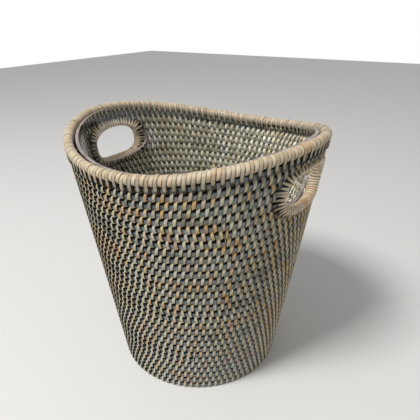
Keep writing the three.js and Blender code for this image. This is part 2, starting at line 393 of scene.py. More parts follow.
def lay_cane(blank, course, start, end):
    """A cane of a course, from one turn to another. Its upper part is painted dark as the shade of the next
    course, and its inner side is painted a little dark as shade.
    """
    tone = chance.random()

    def place(x, y, z):
        turn = start + (end - start) * z
        level = (course + 0.5) * PITCH - CANE_DROP + y * CANE_HEIGHT
        length = metres_per_turn(level, turn) * turn
        side = np.where(x < 0, -CANE_INNER_SHARE, 1)
        flattened = side * np.abs(2 * x) ** CANE_FLATNESS / 2
        points = wall_points(level, turn, flattened * CANE_THICKNESS)
        inside = smooth_step(*CANE_INNER_SIDE, x)
        shade_from = CANE_INNER_SHADE_FROM * inside
        painted_shade = smooth_step(shade_from, shade_from + CANE_SHADE_RUN, y)
        painted_shade = np.maximum(painted_shade, CANE_INNER_SHADE * inside)
        painted_shade = np.maximum(painted_shade, shade_under_binding(points))
        return points, (np.arctan2(y, x), length, tone), (painted_shade, inside, 0)

    return bend(copy_of(blank), place)


def wall_canes():
    hoop_blank = cane_blank(HOOP_STEPS, CANE_SIDES, capped=False)
    half_blank = cane_blank(HALF_HOOP_STEPS, CANE_SIDES)
    canes = []
    for course in range(COURSES):
        if course < first_open or course >= last_open:
            canes.append(lay_cane(hoop_blank, course, 0, FULL_TURN))
            continue
        level = (course + 0.5) * PITCH
        height = level + rise_at(level)
        gap = math.asin(max(opening_half_span(height) - CANE_END_TUCK, 0) / oval_at(level)[1])
        canes.append(lay_cane(half_blank, course, gap, math.pi - gap))
        canes.append(lay_cane(half_blank, course, math.pi + gap, FULL_TURN - gap))
    discard(hoop_blank, half_blank)
    return join_as("wall_canes", canes, weld=SEAM)


canes = wall_canes()

# %% [markdown]
# ## The upright strips
# The strips are what the eye reads as the weave: over one course, under the next, and the neighbour does
# the opposite. A basket widens upwards, so its maker lets in new strips, two at a time, to keep the weave
# even. Strips of one number could simply get wider upwards, but the real ones hardly do. So each strip here
# has a weight that grows from nothing where it is let in, and the strips share the turn round the basket by
# their weights.

# %% Where the strips stand
STRIPS_AT_BASE = 176
STRIPS_AT_RIM = 220
LET_IN_ROWS = 2.5
LET_IN_TIP = 0.15
GOLDEN_SHARE = 0.618034


def strip_starts():
    """The row where each strip is let in, in order round the basket; those of the base start below it."""
    starts = [-LET_IN_ROWS] * STRIPS_AT_BASE
    pairs = (STRIPS_AT_RIM - STRIPS_AT_BASE) // 2
    for pair in range(pairs):
        place = 2 * int((pair * GOLDEN_SHARE % 1) * len(starts) / 2)
        row = COURSES * (pair + 0.5) / pairs
        starts[place:place] = [row, row]
    return np.array(starts)


starts = strip_starts()
rows = np.arange(COURSES + 1)
weights = np.clip((rows[:, None] - starts[None, :]) / LET_IN_ROWS, 0, 1)
totals = weights.sum(axis=1, keepdims=True)
strip_turns = FULL_TURN * (np.cumsum(weights, axis=1) - weights / 2) / totals
strip_shares = FULL_TURN * weights / totals
print("strips at the base:", round(float(totals[0, 0])), "and at the rim:", round(float(totals[-1, 0])))

# %% [markdown]
# ## Bending a strip into the weave
# A strip's path swings out and in once in two courses, with flat stretches over the canes and quick
# dives between them. Its thickness is laid square to that path. It is a little crowned across, and it is
# twisted, so that one edge dives before the other. A strip that meets a hand opening is two strips, one
# below it and one above. A bumpy sheet could stand for the weave from afar, but only real strips have the
# notches beside them, which painted shade darkens, and the same weave inside.

# %% A strip's path and shade
STRIP_THICKNESS = 0.0012
STRIP_FILL = 0.88
CROSSING_FILL = 1.08
STRIP_CROWN = 0.00012
STRIP_TWIST = -0.25
SWING = 0.0028
SWING_FLATNESS = 2.0
SWING_BIAS = 0.08
SLOPE_STEP = 0.02
DIVE_CROWDING = 0.5
# Painted shade on the strips: where they dive, on the face to a cane, and under the rim's turns.
DIVE_SHADE = (0.05, 0.5)
BACK_SHADE = 0.9
BACK_SHADE_FROM = 0.4
RIM_SHADE = 0.85
RIM_SHADE_ROWS = (COURSES - 1.06, COURSES - 0.92)


def swing_at(row, over):
    """How far a strip's path lies out of the wall's middle at a row: a little longer outside than inside."""
    wave = over * np.cos(math.pi * (row - 0.5)) + SWING_BIAS
    return SWING * np.tanh(SWING_FLATNESS * wave) / math.tanh(SWING_FLATNESS)


def strip_shade(z, row, swing, slope):
    """Painted shade: dark where a strip dives under a course, on its face to a cane, and under the rim's
    turns.
    """
    dive = np.where(z * slope > 0, 1 - smooth_step(*DIVE_SHADE, np.abs(swing) / SWING), 0.0)
    back = BACK_SHADE * (z * swing < 0) * (np.abs(swing) > BACK_SHADE_FROM * SWING)
    under_rim = RIM_SHADE * smooth_step(*RIM_SHADE_ROWS, row)
    return np.maximum(np.maximum(dive, back), under_rim)


def lay_strip(blank, number, low, high):
    """A strip from one row to another."""
    over = 1 if number % 2 else -1
    tone = chance.random()

    def place(x, y, z):
        even_row = low + (high - low) * y
        row = even_row - DIVE_CROWDING * np.sin(FULL_TURN * even_row) / FULL_TURN
        turn = np.interp(row, rows, strip_turns[:, number])
        share = np.interp(row, rows, strip_shares[:, number])
        twisted = row + STRIP_TWIST * x
        swing = swing_at(twisted, over)
        climb = swing_at(twisted + SLOPE_STEP, over) - swing_at(twisted - SLOPE_STEP, over)
        slope = climb / (2 * SLOPE_STEP * PITCH)
        lean = np.arctan(slope)
        depth = z * STRIP_THICKNESS - STRIP_CROWN * (2 * x) ** 2 * swing / SWING
        level = row * PITCH - depth * np.sin(lean)
        fill = STRIP_FILL + (CROSSING_FILL - STRIP_FILL) * np.clip(1 - (swing / SWING) ** 2, 0, 1)
        points = wall_points(level, turn + x * share * fill, swing + depth * np.cos(lean))
        painted_shade = np.maximum(strip_shade(z, row, swing, slope), shade_under_binding(points))
        return points, (x, row * PITCH, tone), (painted_shade, z < 0, 0)

    return bend(copy_of(blank), place)


# %% Weave the strips
STRIP_STEPS_PER_ROW = 6
FEWEST_STRIP_STEPS = 3
STRIP_FOOT = 0.1
OPENING_TUCK = 0.5
OPENING_LOOKS = 200
SHORTEST_STRIP = 0.4
STRIP_SMOOTH_ANGLE = 50


def strip_spans(number):
    """The rows that a strip covers, as pairs: one, or two where a hand opening breaks it."""
    first = max(starts[number] + LET_IN_TIP * LET_IN_ROWS, STRIP_FOOT)
    turn = strip_turns[(first_open + last_open) // 2, number]
    across = abs(math.sin(turn)) * oval_at(last_open * PITCH)[1]
    heights = np.linspace(opening_foot, opening_head, OPENING_LOOKS)
    hidden = heights[opening_half_span(heights) > across]
    if not len(hidden):
        return [(first, COURSES)]
    levels = handle_side_place(np.full(2, across), np.array([hidden[0], hidden[-1]]))[0]
    low, high = levels / PITCH
    spans = [(first, low + OPENING_TUCK), (high - OPENING_TUCK, COURSES)]
    return [(a, b) for a, b in spans if b - a > SHORTEST_STRIP]


def wall_strips(name, numbers):
    blanks = {}
    strips = []
    for number in numbers:
        for low, high in strip_spans(number):
            steps = max(FEWEST_STRIP_STEPS, round((high - low) * STRIP_STEPS_PER_ROW))
            if steps not in blanks:
                blanks[steps] = strip_blank(steps)
            strips.append(lay_strip(blanks[steps], number, low, high))
    discard(*blanks.values())
    return join_as(name, strips, smooth_angle=STRIP_SMOOTH_ANGLE)


QUARTERS = ("front_right", "back_right", "back_left", "front_left")
quarter_turns = (strip_turns[-1] + math.pi / 2) // (math.pi / 2) % 4
strips = [
    wall_strips(f"wall_strips_{quarter}", np.flatnonzero(quarter_turns == index))
    for index, quarter in enumerate(QUARTERS)
]

# %% [markdown]
# ## The rim
# The strips end round the rim's cane. One that lies outside the top course goes straight on, over the rim
# and down to its inner side, and its neighbour does the same from the inner side. That leaves a notch under
# every second turn on both faces, darkened with painted shade. The turns are pale where they are handled,
# and grey and darker further down, partly as painted shade. A Screw modifier could wind one long band, but
# each real turn has its own strip, tone and slant, so the turns are laid one by one.

# %% A turn of the rim's binding
RIM_BAND_RADIUS = 0.0041
RIM_BACK_ANGLE = math.radians(60)
RIM_ARC_STEPS = 24
RIM_TAIL = 0.0082
RIM_TAIL_OUT = 0.0033
RIM_TAIL_STEPS = (0.3, 0.6, 0.85, 1)
RIM_TUCK = 0.0022
TUCK_HALFWAY = 0.5
TUCK_DEPTH_HALFWAY = 0.4
RIM_TAIL_VARIES = 0.05
RIM_RADIUS_VARIES = 0.0003
RIM_LIFT_VARIES = 0.0003
# Below these heights a turn takes the worn tones, which hold painted shade too.
RIM_WORN_HEIGHTS = (0.001, -0.005)
RIM_WORN_OUTSIDE = 0.35
RIM_END_SHADE = 0.001
BAND_THICKNESS = 0.0010
BAND_CROWN = 0.0002
BAND_SLANT = 0.0005
# Painted shade in the gaps between turns, weaker on top where the light falls.
BAND_GAP = (0.32, 0.48)
BAND_GAP_SHADE = 0.85
BAND_GAP_ON_TOP = 0.25
BAND_GAP_HEIGHTS = (0.8, 0.2)


def band_gap_shade(x):
    """Painted shade in the narrow gaps on both sides of a turn."""
    return BAND_GAP_SHADE * smooth_step(*BAND_GAP, np.abs(x))


def rim_path(radius, tail):
    """Out and up of a turn of binding: from under the rim's inner side, over it and down outside."""
    angles = np.linspace(-RIM_BACK_ANGLE, math.pi, RIM_ARC_STEPS)
    path = [(-radius * math.cos(a), radius * math.sin(a)) for a in angles]
    path += [(RIM_TAIL_OUT + (radius - RIM_TAIL_OUT) * (1 - s), -tail * s) for s in RIM_TAIL_STEPS]
    path.append((RIM_TAIL_OUT - TUCK_DEPTH_HALFWAY * RIM_TUCK, -tail - TUCK_HALFWAY * RIM_TUCK))
    path.append((RIM_TAIL_OUT - RIM_TUCK, -tail - RIM_TUCK))
    return path


def lay_rim_band(blank, turn, width, facing):
    """One turn of binding. Facing is 1 where its long end lies outside and -1 where it lies inside."""
    tone = chance.random()
    tail = RIM_TAIL * (1 + RIM_TAIL_VARIES * chance.normal())
    path = rim_path(RIM_BAND_RADIUS + RIM_RADIUS_VARIES * chance.random(), tail)
    lift = RIM_LIFT_VARIES * chance.normal()

    def place(x, y, z):
        depth = z * BAND_THICKNESS - BAND_CROWN * (2 * x) ** 2
        out, up, run = along_path(path, y, depth)
        slant = BAND_SLANT * np.clip(up / RIM_BAND_RADIUS, -1, 1)
        at = turn + (x * width + slant) / metres_per_turn(RIM_HEIGHT, turn)
        points = wall_points(np.full_like(x, RIM_HEIGHT), at, facing * out)
        points[:, 2] += up + lift
        worn = np.maximum(smooth_step(*RIM_WORN_HEIGHTS, up), RIM_WORN_OUTSIDE * (facing > 0))
        # Painted shade at the tucked end and in the gaps beside the turn, less on top.
        below = smooth_step(*BAND_GAP_HEIGHTS, up / RIM_BAND_RADIUS)
        gaps = band_gap_shade(x) * (BAND_GAP_ON_TOP + (1 - BAND_GAP_ON_TOP) * below)
        painted_shade = smooth_step(RIM_END_SHADE - tail, -tail - TUCK_HALFWAY * RIM_TUCK, up) + gaps
        return points, (x, run, tone), (painted_shade, worn, 0)

    return bend(copy_of(blank), place)


# %% Rim hoop and binding
LONG_BAND_FILL = 0.92
SHORT_BAND_FILL = 0.97
BAND_STEPS = 22
BAND_STEPS_ACROSS = 6
MIDDLE_TONE = 0.5
# Painted shade on the rim's cane, which shows only between the turns.
RIM_CANE_SHADE = 0.6


def rim_binding():
    blank = strip_blank(BAND_STEPS, BAND_STEPS_ACROSS)
    bands = []
    for number in range(STRIPS_AT_RIM):
        turn = strip_turns[-1, number]
        pitch = strip_shares[-1, number] * metres_per_turn(RIM_HEIGHT, turn)
        if number % 2:
            bands.append(lay_rim_band(blank, turn, pitch * LONG_BAND_FILL, 1))
        else:
            bands.append(lay_rim_band(blank, turn, pitch * SHORT_BAND_FILL, -1))
    discard(blank)
    return join_as("rim_wraps", bands, smooth_angle=STRIP_SMOOTH_ANGLE)


def rim_cane():
    blank = cane_blank(HOOP_STEPS, capped=False)

    def place(x, y, z):
        turn = FULL_TURN * z
        points = wall_points(np.full_like(x, RIM_HEIGHT), turn, x * RIM_CANE)
        points[:, 2] += y * RIM_CANE
        return points, (np.arctan2(y, x), turn * RIM_HALF_WIDTH, MIDDLE_TONE), (RIM_CANE_SHADE, 0, 0)

    cane = bend(copy_of(blank), place)
    discard(blank)
    return join_as("rim_cane", [cane], weld=SEAM)


rim_wraps = rim_binding()
rim_core = rim_cane()

# %% [markdown]
# ## The handles
# Each loop is bound from end to end. A turn comes out of the weave on the inner face, goes through the
# opening round the loop's cane and back into the weave outside. The turns lie close like a rope at the
# opening's edge. At the loop's ends they reach further and fan out, with gaps between them that painted
# shade on the wall below darkens. An array along a curve could repeat one turn, but the turns have to spread
# into the fan, so each is laid in the room between two directions out of the opening.

# %% Places round an opening
HANDLE_EVEN_AT = 0.007
HANDLE_EDGE_LOOKS = 2001


def opening_edge(angle):
    """Across and up of the opening's edge at an angle, and the direction away from the opening there."""
    across, up = rounded_outline(OPENING_WIDTH / 2, opening_half_height, angle)
    power = OPENING_SQUARENESS - 1
    away_across = np.sign(across) * np.abs(2 * across / OPENING_WIDTH) ** power / OPENING_WIDTH
    away_up = np.sign(up) * np.abs(up / opening_half_height) ** power / (2 * opening_half_height)
    size = np.hypot(away_across, away_up)
    return across, up, away_across / size, away_up / size


def on_handle(angle, away, along, out, facing):
    """Points by a hand opening: a way off its edge, along the edge and out of the wall."""
    across, up, away_across, away_up = opening_edge(angle)
    across = across + away * away_across - along * away_up
    up = up + away * away_up + along * away_across
    points = wall_points(*handle_side_place(across, opening_height + up), out)
    points[:, :2] *= facing
    return points


def even_angles(count):
    """Angles round the opening at whose places turns are evenly spaced halfway along their flat ends."""
    angles = np.linspace(0, FULL_TURN, HANDLE_EDGE_LOOKS)
    across, up, away_across, away_up = opening_edge(angles)
    across = across + HANDLE_EVEN_AT * away_across
    up = up + HANDLE_EVEN_AT * away_up
    run = np.concatenate([[0], np.cumsum(np.hypot(np.diff(across), np.diff(up)))])
    return np.interp(np.arange(count) / (count - 1) * run[-1], run, angles)


def room_between(first, last, away):
    """Distance between two directions out of the opening, a way off its edge."""
    across, up, away_across, away_up = opening_edge(first)
    last_across, last_up, last_away_across, last_away_up = opening_edge(last)
    across = across + away * away_across - last_across - away * last_away_across
    up = up + away * away_up - last_up - away * last_away_up
    return np.hypot(across, up)


# %% A turn of a handle's binding
HANDLE_BAND_FILL = 0.98
HANDLE_BAND_END_FILL = 0.5
HANDLE_BAND_NARROWS = (0.002, 0.010)
HANDLE_BAND_CROWN = 0.0006
HANDLE_IN = 0.0057
HANDLE_OUT = 0.0046
HANDLE_NOSE = 0.0044
HANDLE_NOSE_STEPS = 17
HANDLE_FLAP_IN = 0.0047
HANDLE_FLAP_OUT = 0.0029
HANDLE_FLAP_STEPS = 9
HANDLE_ROLL_SHARE = 0.6
HANDLE_REACH_AT_ENDS = 0.0138
HANDLE_REACH_AT_SIDES = 0.0094
HANDLE_REACH_VARIES = 0.0007
HANDLE_SKEW_VARIES = 0.05
HANDLE_TUCK = 0.0020


def handle_path(reach):
    """Away and out of a turn of binding: from the inner face through the opening to the outer face."""
    def face(top, flap):
        """From the roll's top down to the wall and along it, to the tucked end."""
        flat = reach - HANDLE_TUCK
        shares = np.linspace(0, 1, HANDLE_FLAP_STEPS)[1:]
        away = HANDLE_NOSE + (flat - HANDLE_NOSE) * shares
        out = top + (flap - top) * smooth_step(0, HANDLE_ROLL_SHARE, shares)
        halfway = (flat + TUCK_HALFWAY * HANDLE_TUCK, flap - TUCK_DEPTH_HALFWAY * HANDLE_TUCK)
        return [*zip(away, out), halfway, (reach, flap - HANDLE_TUCK)]

    middle = (HANDLE_OUT - HANDLE_IN) / 2
    half = (HANDLE_OUT + HANDLE_IN) / 2
    angles = np.linspace(-math.pi / 2, math.pi / 2, HANDLE_NOSE_STEPS)
    nose = [(HANDLE_NOSE * (1 - math.cos(a)), middle + half * math.sin(a)) for a in angles]
    inner = [(away, -out) for away, out in reversed(face(HANDLE_IN, HANDLE_FLAP_IN))]
    return inner + nose + face(HANDLE_OUT, HANDLE_FLAP_OUT)


def lay_handle_band(blank, first, last, facing):
    """One turn, in the room between two angles round the opening."""
    angle = (first + last) / 2
    tone = chance.random()
    ends = math.cos(angle) ** 2
    reach = HANDLE_REACH_AT_SIDES + (HANDLE_REACH_AT_ENDS - HANDLE_REACH_AT_SIDES) * ends
    path = handle_path(reach + HANDLE_REACH_VARIES * chance.normal())
    skew = HANDLE_SKEW_VARIES * chance.normal()

    def place(x, y, z):
        depth = z * BAND_THICKNESS - HANDLE_BAND_CROWN * (2 * x) ** 2
        away, out, run = along_path(path, y, depth)
        worn = smooth_step(*HANDLE_BAND_NARROWS, away)
        fill = HANDLE_BAND_FILL + (HANDLE_BAND_END_FILL - HANDLE_BAND_FILL) * worn
        along = x * fill * room_between(first, last, away) + skew * away
        points = on_handle(np.full_like(x, angle), away, along, out, facing)
        # Painted shade at the tucked end and in the gaps beside the turn.
        painted_shade = smooth_step(reach - HANDLE_TUCK, reach, away) + band_gap_shade(x)
        return points, (x, run, tone), (painted_shade, worn, 0)

    return bend(copy_of(blank), place)


# %% Handle loops and binding
HANDLE_BANDS = 54
HANDLE_BAND_STEPS = 30
LOOP_STEPS = 96
LOOP_WIDTH_SHARE = 0.8
# Painted shade on the loop's cane, which shows only between the turns.
LOOP_SHADE = 0.9
HANDLE_SKIRT = 0.0030
HANDLE_SKIRT_SIDE = (0.3, 0.5)
LOOP_GRAIN = 0.2


def handle_binding(side, facing):
    blank = strip_blank(HANDLE_BAND_STEPS, BAND_STEPS_ACROSS)
    angles = even_angles(HANDLE_BANDS + 1)
    bands = [lay_handle_band(blank, first, last, facing) for first, last in zip(angles, angles[1:])]
    discard(blank)
    return join_as(f"handle_wraps_{side}", bands, smooth_angle=STRIP_SMOOTH_ANGLE)


def handle_cane(side, facing):
    """The loop's cane, inside the turns. Its outer edge runs on as a skirt that closes gaps there."""
    blank = cane_blank(LOOP_STEPS, capped=False)
    thickness = HANDLE_OUT + HANDLE_IN - 2 * BAND_THICKNESS

    def place(x, y, z):
        out = y * thickness + (HANDLE_OUT - HANDLE_IN) / 2
        skirt = HANDLE_SKIRT * smooth_step(*HANDLE_SKIRT_SIDE, x)
        away = HANDLE_NOSE + x * LOOP_CANE * LOOP_WIDTH_SHARE + skirt
        points = on_handle(FULL_TURN * z, away, 0.0, out, facing)
        return points, (np.arctan2(y, x), z * LOOP_GRAIN, MIDDLE_TONE), (LOOP_SHADE, 0, 0)

    cane = bend(copy_of(blank), place)
    discard(blank)
    return join_as(f"handle_cane_{side}", [cane], weld=SEAM)


SIDES = {"right": 1, "left": -1}
handle_wraps = {side: handle_binding(side, facing) for side, facing in SIDES.items()}
handle_cores = {side: handle_cane(side, facing) for side, facing in SIDES.items()}

# %% [markdown]
# ## The base
# Underneath, one cane is coiled flat inside the lowest course, and strips run out over one turn of it and
# under the next. Eight start in the middle, and the others further out, where there is room for them. A
# Screw modifier could make the coil, but a bent blank has the grain along the cane, as in the wall.

# %% Base coil and its strips
BASE_CANE = 0.0046
BASE_CANE_SIDES = 8
BASE_CANE_TONE = 0.4
# Painted shade: the coil a little dark, and the strips dark where they dive under a turn.
BASE_CANE_SHADE = 0.2
BASE_COIL_HEIGHT = 0.0043
BASE_COIL_PITCH = 0.0074
BASE_COIL_EYE = 0.006
BASE_COIL_EDGE = 0.0842
BASE_COIL_STEPS_PER_TURN = 40
BASE_STRIPS = 72
BASE_STRIP_STEPS = 60
BASE_STRIP_WIDTH = 0.0036
BASE_STRIP_INNER = (0.010, 0.026, 0.048, 0.026)
BASE_STRIP_SHADE = 0.8
BASE_EYE_STRIPS = 8


def base_coil():
    turns = (BASE_COIL_EDGE - BASE_COIL_EYE) / BASE_COIL_PITCH
    blank = cane_blank(round(turns * BASE_COIL_STEPS_PER_TURN), BASE_CANE_SIDES)

    def place(x, y, z):
        turn = FULL_TURN * turns * z
        reach = BASE_COIL_EYE + BASE_COIL_PITCH * turns * z + x * BASE_CANE
        height = BASE_COIL_HEIGHT + y * BASE_CANE
        points = np.stack([reach * np.cos(turn), reach * np.sin(turn), height], -1)
        return points, (np.arctan2(y, x), reach * turn, BASE_CANE_TONE), (BASE_CANE_SHADE, 0, 0)

    cane = bend(copy_of(blank), place)
    discard(blank)
    return join_as("base_cane", [cane])


def lay_base_strip(blank, number, inner):
    tone = chance.random()
    turn = FULL_TURN * number / BASE_STRIPS
    over = 1 if number % 2 else -1
    swing = BASE_CANE / 2 + STRIP_THICKNESS / 2

    def place(x, y, z):
        reach = inner + (BASE_COIL_EDGE + BASE_CANE / 2 - inner) * y
        ring = (reach - BASE_COIL_EYE) / BASE_COIL_PITCH - turn / FULL_TURN
        up = over * swing * np.tanh(SWING_FLATNESS * np.cos(math.pi * ring)) / math.tanh(SWING_FLATNESS)
        side = x * BASE_STRIP_WIDTH
        points = np.stack([
            reach * math.cos(turn) - side * math.sin(turn),
            reach * math.sin(turn) + side * math.cos(turn),
            BASE_COIL_HEIGHT + up + z * STRIP_THICKNESS,
        ], -1)
        return points, (x, reach, tone), (BASE_STRIP_SHADE * (1 - np.abs(up) / swing), 0, 0)

    return bend(copy_of(blank), place)


def base_strips():
    blank = strip_blank(BASE_STRIP_STEPS)
    eye_step = BASE_STRIPS // BASE_EYE_STRIPS
    laid = []
    for number in range(BASE_STRIPS):
        inner = BASE_STRIP_INNER[number % len(BASE_STRIP_INNER)]
        laid.append(lay_base_strip(blank, number, inner if number % eye_step else 0))
    discard(blank)
    return join_as("base_strips", laid, smooth_angle=STRIP_SMOOTH_ANGLE)


base_cane = base_coil()
base_weave = base_strips()

# %% [markdown]
# ## The liner
# The liner is a clear bowl with round corners that stands on the base. Its edge follows the rim, and it
# has an opening behind each hand opening. A spin would make a round bowl, and this one is oval with a
# saddle-shaped edge. So a grid is wrapped into the bowl's outside, thickened inwards and cut by a bar for
# the openings, and its edges are rounded as those of polished acrylic are.

# %% Liner
LINER_WALL = 0.003
LINER_INSET = 0.007
LINER_EDGE_RISE = 0.001
LINER_CORNER = 0.012
LINER_FLOOR = 0.0080
LINER_OPENING_SQUARENESS = 2.2
LINER_OPENING_SIDE_MARGIN = 0.008
LINER_OPENING_TOP_MARGIN = 0.002
LINER_OPENING_STEPS = 96
LINER_EDGE_ROUND = 0.0007
LINER_EDGE_ANGLE = math.radians(50)
LINER_SMOOTH_ANGLE = 35
LINER_STEPS_ROUND = 144
LINER_STEPS_UP = 44
LINER_ROW_SHARES = (0, 0.1, 0.36, 1)


def liner_bowl():
    """The outside of the liner as a sheet: up from the floor's middle, round the corner and up the side."""
    deselect()
    bpy.ops.mesh.primitive_grid_add(x_subdivisions=LINER_STEPS_ROUND, y_subdivisions=LINER_STEPS_UP, size=1)
    bowl = bpy.context.object
    floor_run = BASE_RADIUS - LINER_INSET - LINER_CORNER
    arc_run = math.pi / 2 * LINER_CORNER
    foot = LINER_FLOOR + LINER_CORNER
    side = RIM_HEIGHT + LINER_EDGE_RISE - foot
    runs = np.cumsum([0, floor_run, arc_run, side])

    def place(x, y, z):
        turn = FULL_TURN * (x + 0.5)
        run = np.interp(y + 0.5, LINER_ROW_SHARES, runs)
        curve = np.clip((run - runs[1]) / LINER_CORNER, 0, math.pi / 2)
        climb = np.clip(run - runs[2], 0, None)
        level = LINER_FLOOR + LINER_CORNER * (1 - np.cos(curve)) + climb
        points = wall_points(level, turn, -LINER_INSET - LINER_CORNER * (1 - np.sin(curve)))
        points[:, :2] *= np.clip(run / floor_run, 0, 1)[:, None]
        points[:, 2] = level + RIM_RISE * climb / side * np.cos(2 * turn)
        return points, (turn, level, MIDDLE_TONE), (0, 0, 0)

    bend(bowl, place)
    return join_as("liner_bowl", [bowl], weld=SEAM)


def opening_bar():
    """A bar with the outline of the liner's openings, long enough to cut both sides."""
    deselect()
    length = 4 * RIM_HALF_LENGTH
    bpy.ops.mesh.primitive_cylinder_add(vertices=LINER_OPENING_STEPS, radius=0.5, depth=length)
    bar = bpy.context.object

    def place(x, y, z):
        half_width = OPENING_WIDTH / 2 + LINER_OPENING_SIDE_MARGIN
        half_height = opening_half_height + LINER_OPENING_TOP_MARGIN
        across, up = rounded_outline(half_width, half_height, np.arctan2(y, x), LINER_OPENING_SQUARENESS)
        return np.stack([z, across, opening_height + up], -1), (x, y, z), (0, 0, 0)

    return bend(bar, place)


def clear_liner():
    bowl = liner_bowl()
    apply_modifier(bowl, "SOLIDIFY", thickness=LINER_WALL, offset=-1, use_even_offset=True)
    bar = opening_bar()
    apply_modifier(bowl, "BOOLEAN", operation="DIFFERENCE", object=bar, solver="EXACT")
    discard(bar)
    edges = {"limit_method": "ANGLE", "angle_limit": LINER_EDGE_ANGLE}
    apply_modifier(bowl, "BEVEL", width=LINER_EDGE_ROUND, segments=2, **edges)
    return join_as("clear_liner", [bowl], smooth_angle=LINER_SMOOTH_ANGLE)


liner = clear_liner()

# %% [markdown]
# ## Finishes
# Split cane is tan to olive, with a grey wash that stays in its grain and between the strips, and painted
# light that makes it paler towards the base. Each strip has a tone of its own, which drifts along it, and
# tints run round the wall in bands. The canes behind are darker, and bluer with painted sky light, and the
# bindings paler. An image could be wrapped round the wall, but it would blur near by and slide over the
# strips. Noise that reads the grain attribute follows every strip.

# %% Material helpers
def new_material(name):
    material = bpy.data.materials.new(name)
    material.use_nodes = True
    nodes = material.node_tree.nodes
    return material, nodes, material.node_tree.links, nodes["Principled BSDF"]


def colour_ramp(nodes, stops):
    """A ramp from a list of (place, colour)."""
    ramp = nodes.new("ShaderNodeValToRGB")
    elements = ramp.color_ramp.elements
    while len(elements) < len(stops):
        elements.new(0.5)
    for element, (place, colour) in zip(elements, stops):
        element.position = place
        element.color = (*colour, 1)
    return ramp


def feed(links, socket, value):
    """Sets a socket to a number or a colour, or links what another node gives to it."""
    if isinstance(value, bpy.types.NodeSocket):
        links.new(value, socket)
    elif isinstance(value, tuple):
        socket.default_value = (*value, 1)
    else:
        socket.default_value = value


def calculate(nodes, links, operation, *values):
    """A Math node on numbers or on what other nodes give."""
    node = nodes.new("ShaderNodeMath")
    node.operation = operation
    for socket, value in zip(node.inputs, values):
        feed(links, socket, value)
    return node.outputs[0]


def growing(nodes, links, value, start, end, most, way="LINEAR"):
    """A number that grows from 0 to most as a value goes from start to end."""
    node = nodes.new("ShaderNodeMapRange")
    node.interpolation_type = way
    for name, number in (("From Min", start), ("From Max", end), ("To Min", 0), ("To Max", most)):
        node.inputs[name].default_value = number
    links.new(value, node.inputs["Value"])
    return node.outputs["Result"]


def attribute(nodes, name):
    """What a mesh attribute holds at each point."""
    node = nodes.new("ShaderNodeAttribute")
    node.attribute_name = name
    return node.outputs["Vector"]


def parts_of(nodes, links, vector):
    """The parts X, Y and Z of a vector."""
    node = nodes.new("ShaderNodeSeparateXYZ")
    links.new(vector, node.inputs[0])
    return node.outputs


def stretched(nodes, links, vector, stretch):
    """A vector with each part multiplied."""
    node = nodes.new("ShaderNodeVectorMath")
    node.operation = "MULTIPLY"
    node.inputs[1].default_value = stretch
    links.new(vector, node.inputs[0])
    return node.outputs["Vector"]


def noise(nodes, links, vector, detail, scale=1.0):
    texture = nodes.new("ShaderNodeTexNoise")
    texture.inputs["Scale"].default_value = scale
    texture.inputs["Detail"].default_value = detail
    links.new(vector, texture.inputs["Vector"])
    return texture.outputs["Fac"]


def mix_colour(nodes, links, share, first, second, blend="MIX"):
    mix = nodes.new("ShaderNodeMix")
    mix.data_type = "RGBA"
    mix.blend_type = blend
    for socket, value in ((mix.inputs[0], share), (mix.inputs[6], first), (mix.inputs[7], second)):
        feed(links, socket, value)
    return mix.outputs[2]


def choose_shader(nodes, links, share, first, second, output):
    """Gives an output node the second shader for this share of the rays, and else the first."""
    choice = nodes.new("ShaderNodeMixShader")
    for socket, value in zip(choice.inputs, (share, first, second)):
        links.new(value, socket)
    links.new(choice.outputs["Shader"], nodes[output].inputs["Surface"])


def linear(red, green, blue):
    """A colour as seen on a screen, 0 to 255, as the linear values that shaders take."""
    def one(value):
        value /= 255
        return value / 12.92 if value <= 0.04045 else ((value + 0.055) / 1.055) ** 2.4
    return one(red), one(green), one(blue)


# %% Tones of the cane
# Painted shade: the near-black that is mixed in where the look attribute says shade falls.
PAINTED_SHADE_COLOUR = linear(11, 10, 10)
STRIP_TONES = [
    (0.28, linear(126, 124, 106)),
    (0.38, linear(168, 160, 137)),
    (0.47, linear(200, 192, 171)),
    (0.54, linear(202, 186, 142)),
    (0.61, linear(204, 163, 106)),
    (0.68, linear(186, 148, 120)),
    (0.76, linear(160, 150, 132)),
]
INNER_STRIP_TONES = [
    (0.34, linear(124, 120, 102)),
    (0.46, linear(153, 149, 129)),
    (0.58, linear(166, 159, 135)),
    (0.70, linear(164, 143, 108)),
]
# The blue in these tones is painted sky light, which falls into the recesses where the canes show.
CANE_TONES = [
    (0.30, linear(108, 112, 114)),
    (0.42, linear(138, 154, 156)),
    (0.52, linear(160, 160, 148)),
    (0.62, linear(150, 156, 166)),
    (0.72, linear(170, 158, 154)),
]
INNER_CANE_TONES = [
    (0.30, linear(124, 118, 100)),
    (0.44, linear(156, 150, 128)),
    (0.58, linear(176, 168, 144)),
    (0.72, linear(168, 146, 114)),
]
BINDING_TONES = [
    (0.30, linear(192, 168, 134)),
    (0.42, linear(216, 195, 162)),
    (0.56, linear(228, 210, 180)),
    (0.72, linear(216, 178, 134)),
]
# Worn binding: grey like the strips, and darker still with painted shade.
WORN_AND_SHADED_BINDING_TONES = [
    (0.32, linear(116, 107, 84)),
    (0.44, linear(152, 140, 114)),
    (0.56, linear(174, 160, 132)),
    (0.70, linear(174, 138, 98)),
]
print("tones of a strip:", len(STRIP_TONES), "outside and", len(INNER_STRIP_TONES), "inside")


